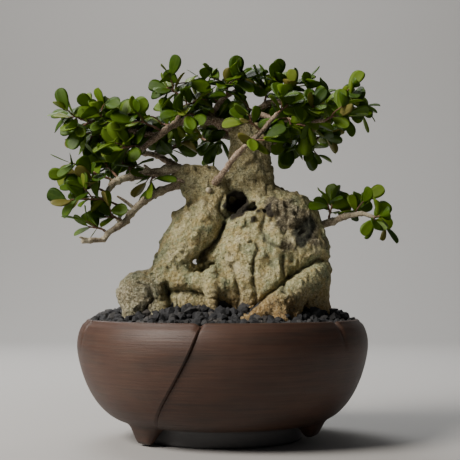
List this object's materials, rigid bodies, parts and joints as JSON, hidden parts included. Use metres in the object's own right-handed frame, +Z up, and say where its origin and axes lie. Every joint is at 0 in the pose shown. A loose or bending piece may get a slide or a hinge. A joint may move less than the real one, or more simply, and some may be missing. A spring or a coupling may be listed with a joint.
{
  "type": "bonsai tree in a pot",
  "caption": "Small broadleaf bonsai with a swollen, many-rooted trunk and flat pads of small leaves, in a round unglazed stoneware bowl on a foot ring.",
  "frame": {"origin": "centre of the pot's foot ring, on the surface it stands on", "axes": "+Z up, -Y towards the tree's front, +X to the right seen from the front"},
  "size_m": [0.1853, 0.1487, 0.2011],
  "materials": {
    "stoneware": "unglazed brown stoneware, matt, with faint turning streaks",
    "net_plastic": "moulded black net",
    "clip_wire": "brown anodised bonsai wire",
    "lava_grit": "rough black volcanic grit",
    "trunk_bark": "living bark, grey green and ochre, fine cracks",
    "branch_bark": "young grey brown bark",
    "leafy_shoot": "small smooth green leaves on thin brown twigs"
  },
  "bodies": {
    "root": {"pot": "stoneware", "drain_mesh": "net_plastic", "mesh_clip": "clip_wire", "soil": "lava_grit", "trunk": "trunk_bark", "branch_low_left": "branch_bark", "branch_upper_left": "branch_bark", "dead_twig": "branch_bark", "branch_crown_left": "branch_bark", "leader_left": "branch_bark", "leader_middle": "branch_bark", "branch_front": "branch_bark", "branch_right": "branch_bark", "branch_low_right": "branch_bark", "branch_left_top": "branch_bark", "branch_left_back": "branch_bark", "branch_back": "branch_bark", "branch_back_right": "branch_bark", "branch_right_front": "branch_bark", "shoot_01": "leafy_shoot", "shoot_02": "leafy_shoot", "shoot_03": "leafy_shoot", "shoot_04": "leafy_shoot", "shoot_05": "leafy_shoot", "shoot_06": "leafy_shoot", "shoot_07": "leafy_shoot", "shoot_08": "leafy_shoot", "shoot_09": "leafy_shoot", "shoot_10": "leafy_shoot", "shoot_11": "leafy_shoot", "shoot_12": "leafy_shoot", "shoot_13": "leafy_shoot", "shoot_14": "leafy_shoot", "shoot_15": "leafy_shoot", "shoot_16": "leafy_shoot", "shoot_17": "leafy_shoot", "shoot_18": "leafy_shoot", "shoot_19": "leafy_shoot", "shoot_20": "leafy_shoot", "shoot_21": "leafy_shoot", "shoot_22": "leafy_shoot", "shoot_23": "leafy_shoot", "shoot_24": "leafy_shoot", "shoot_25": "leafy_shoot", "shoot_26": "leafy_shoot", "shoot_27": "leafy_shoot", "shoot_28": "leafy_shoot", "shoot_29": "leafy_shoot", "shoot_30": "leafy_shoot", "shoot_31": "leafy_shoot", "shoot_32": "leafy_shoot", "shoot_33": "leafy_shoot", "shoot_34": "leafy_shoot", "shoot_35": "leafy_shoot", "shoot_36": "leafy_shoot", "shoot_37": "leafy_shoot", "shoot_38": "leafy_shoot", "shoot_39": "leafy_shoot", "shoot_40": "leafy_shoot", "shoot_41": "leafy_shoot"}
  },
  "joints": []
}
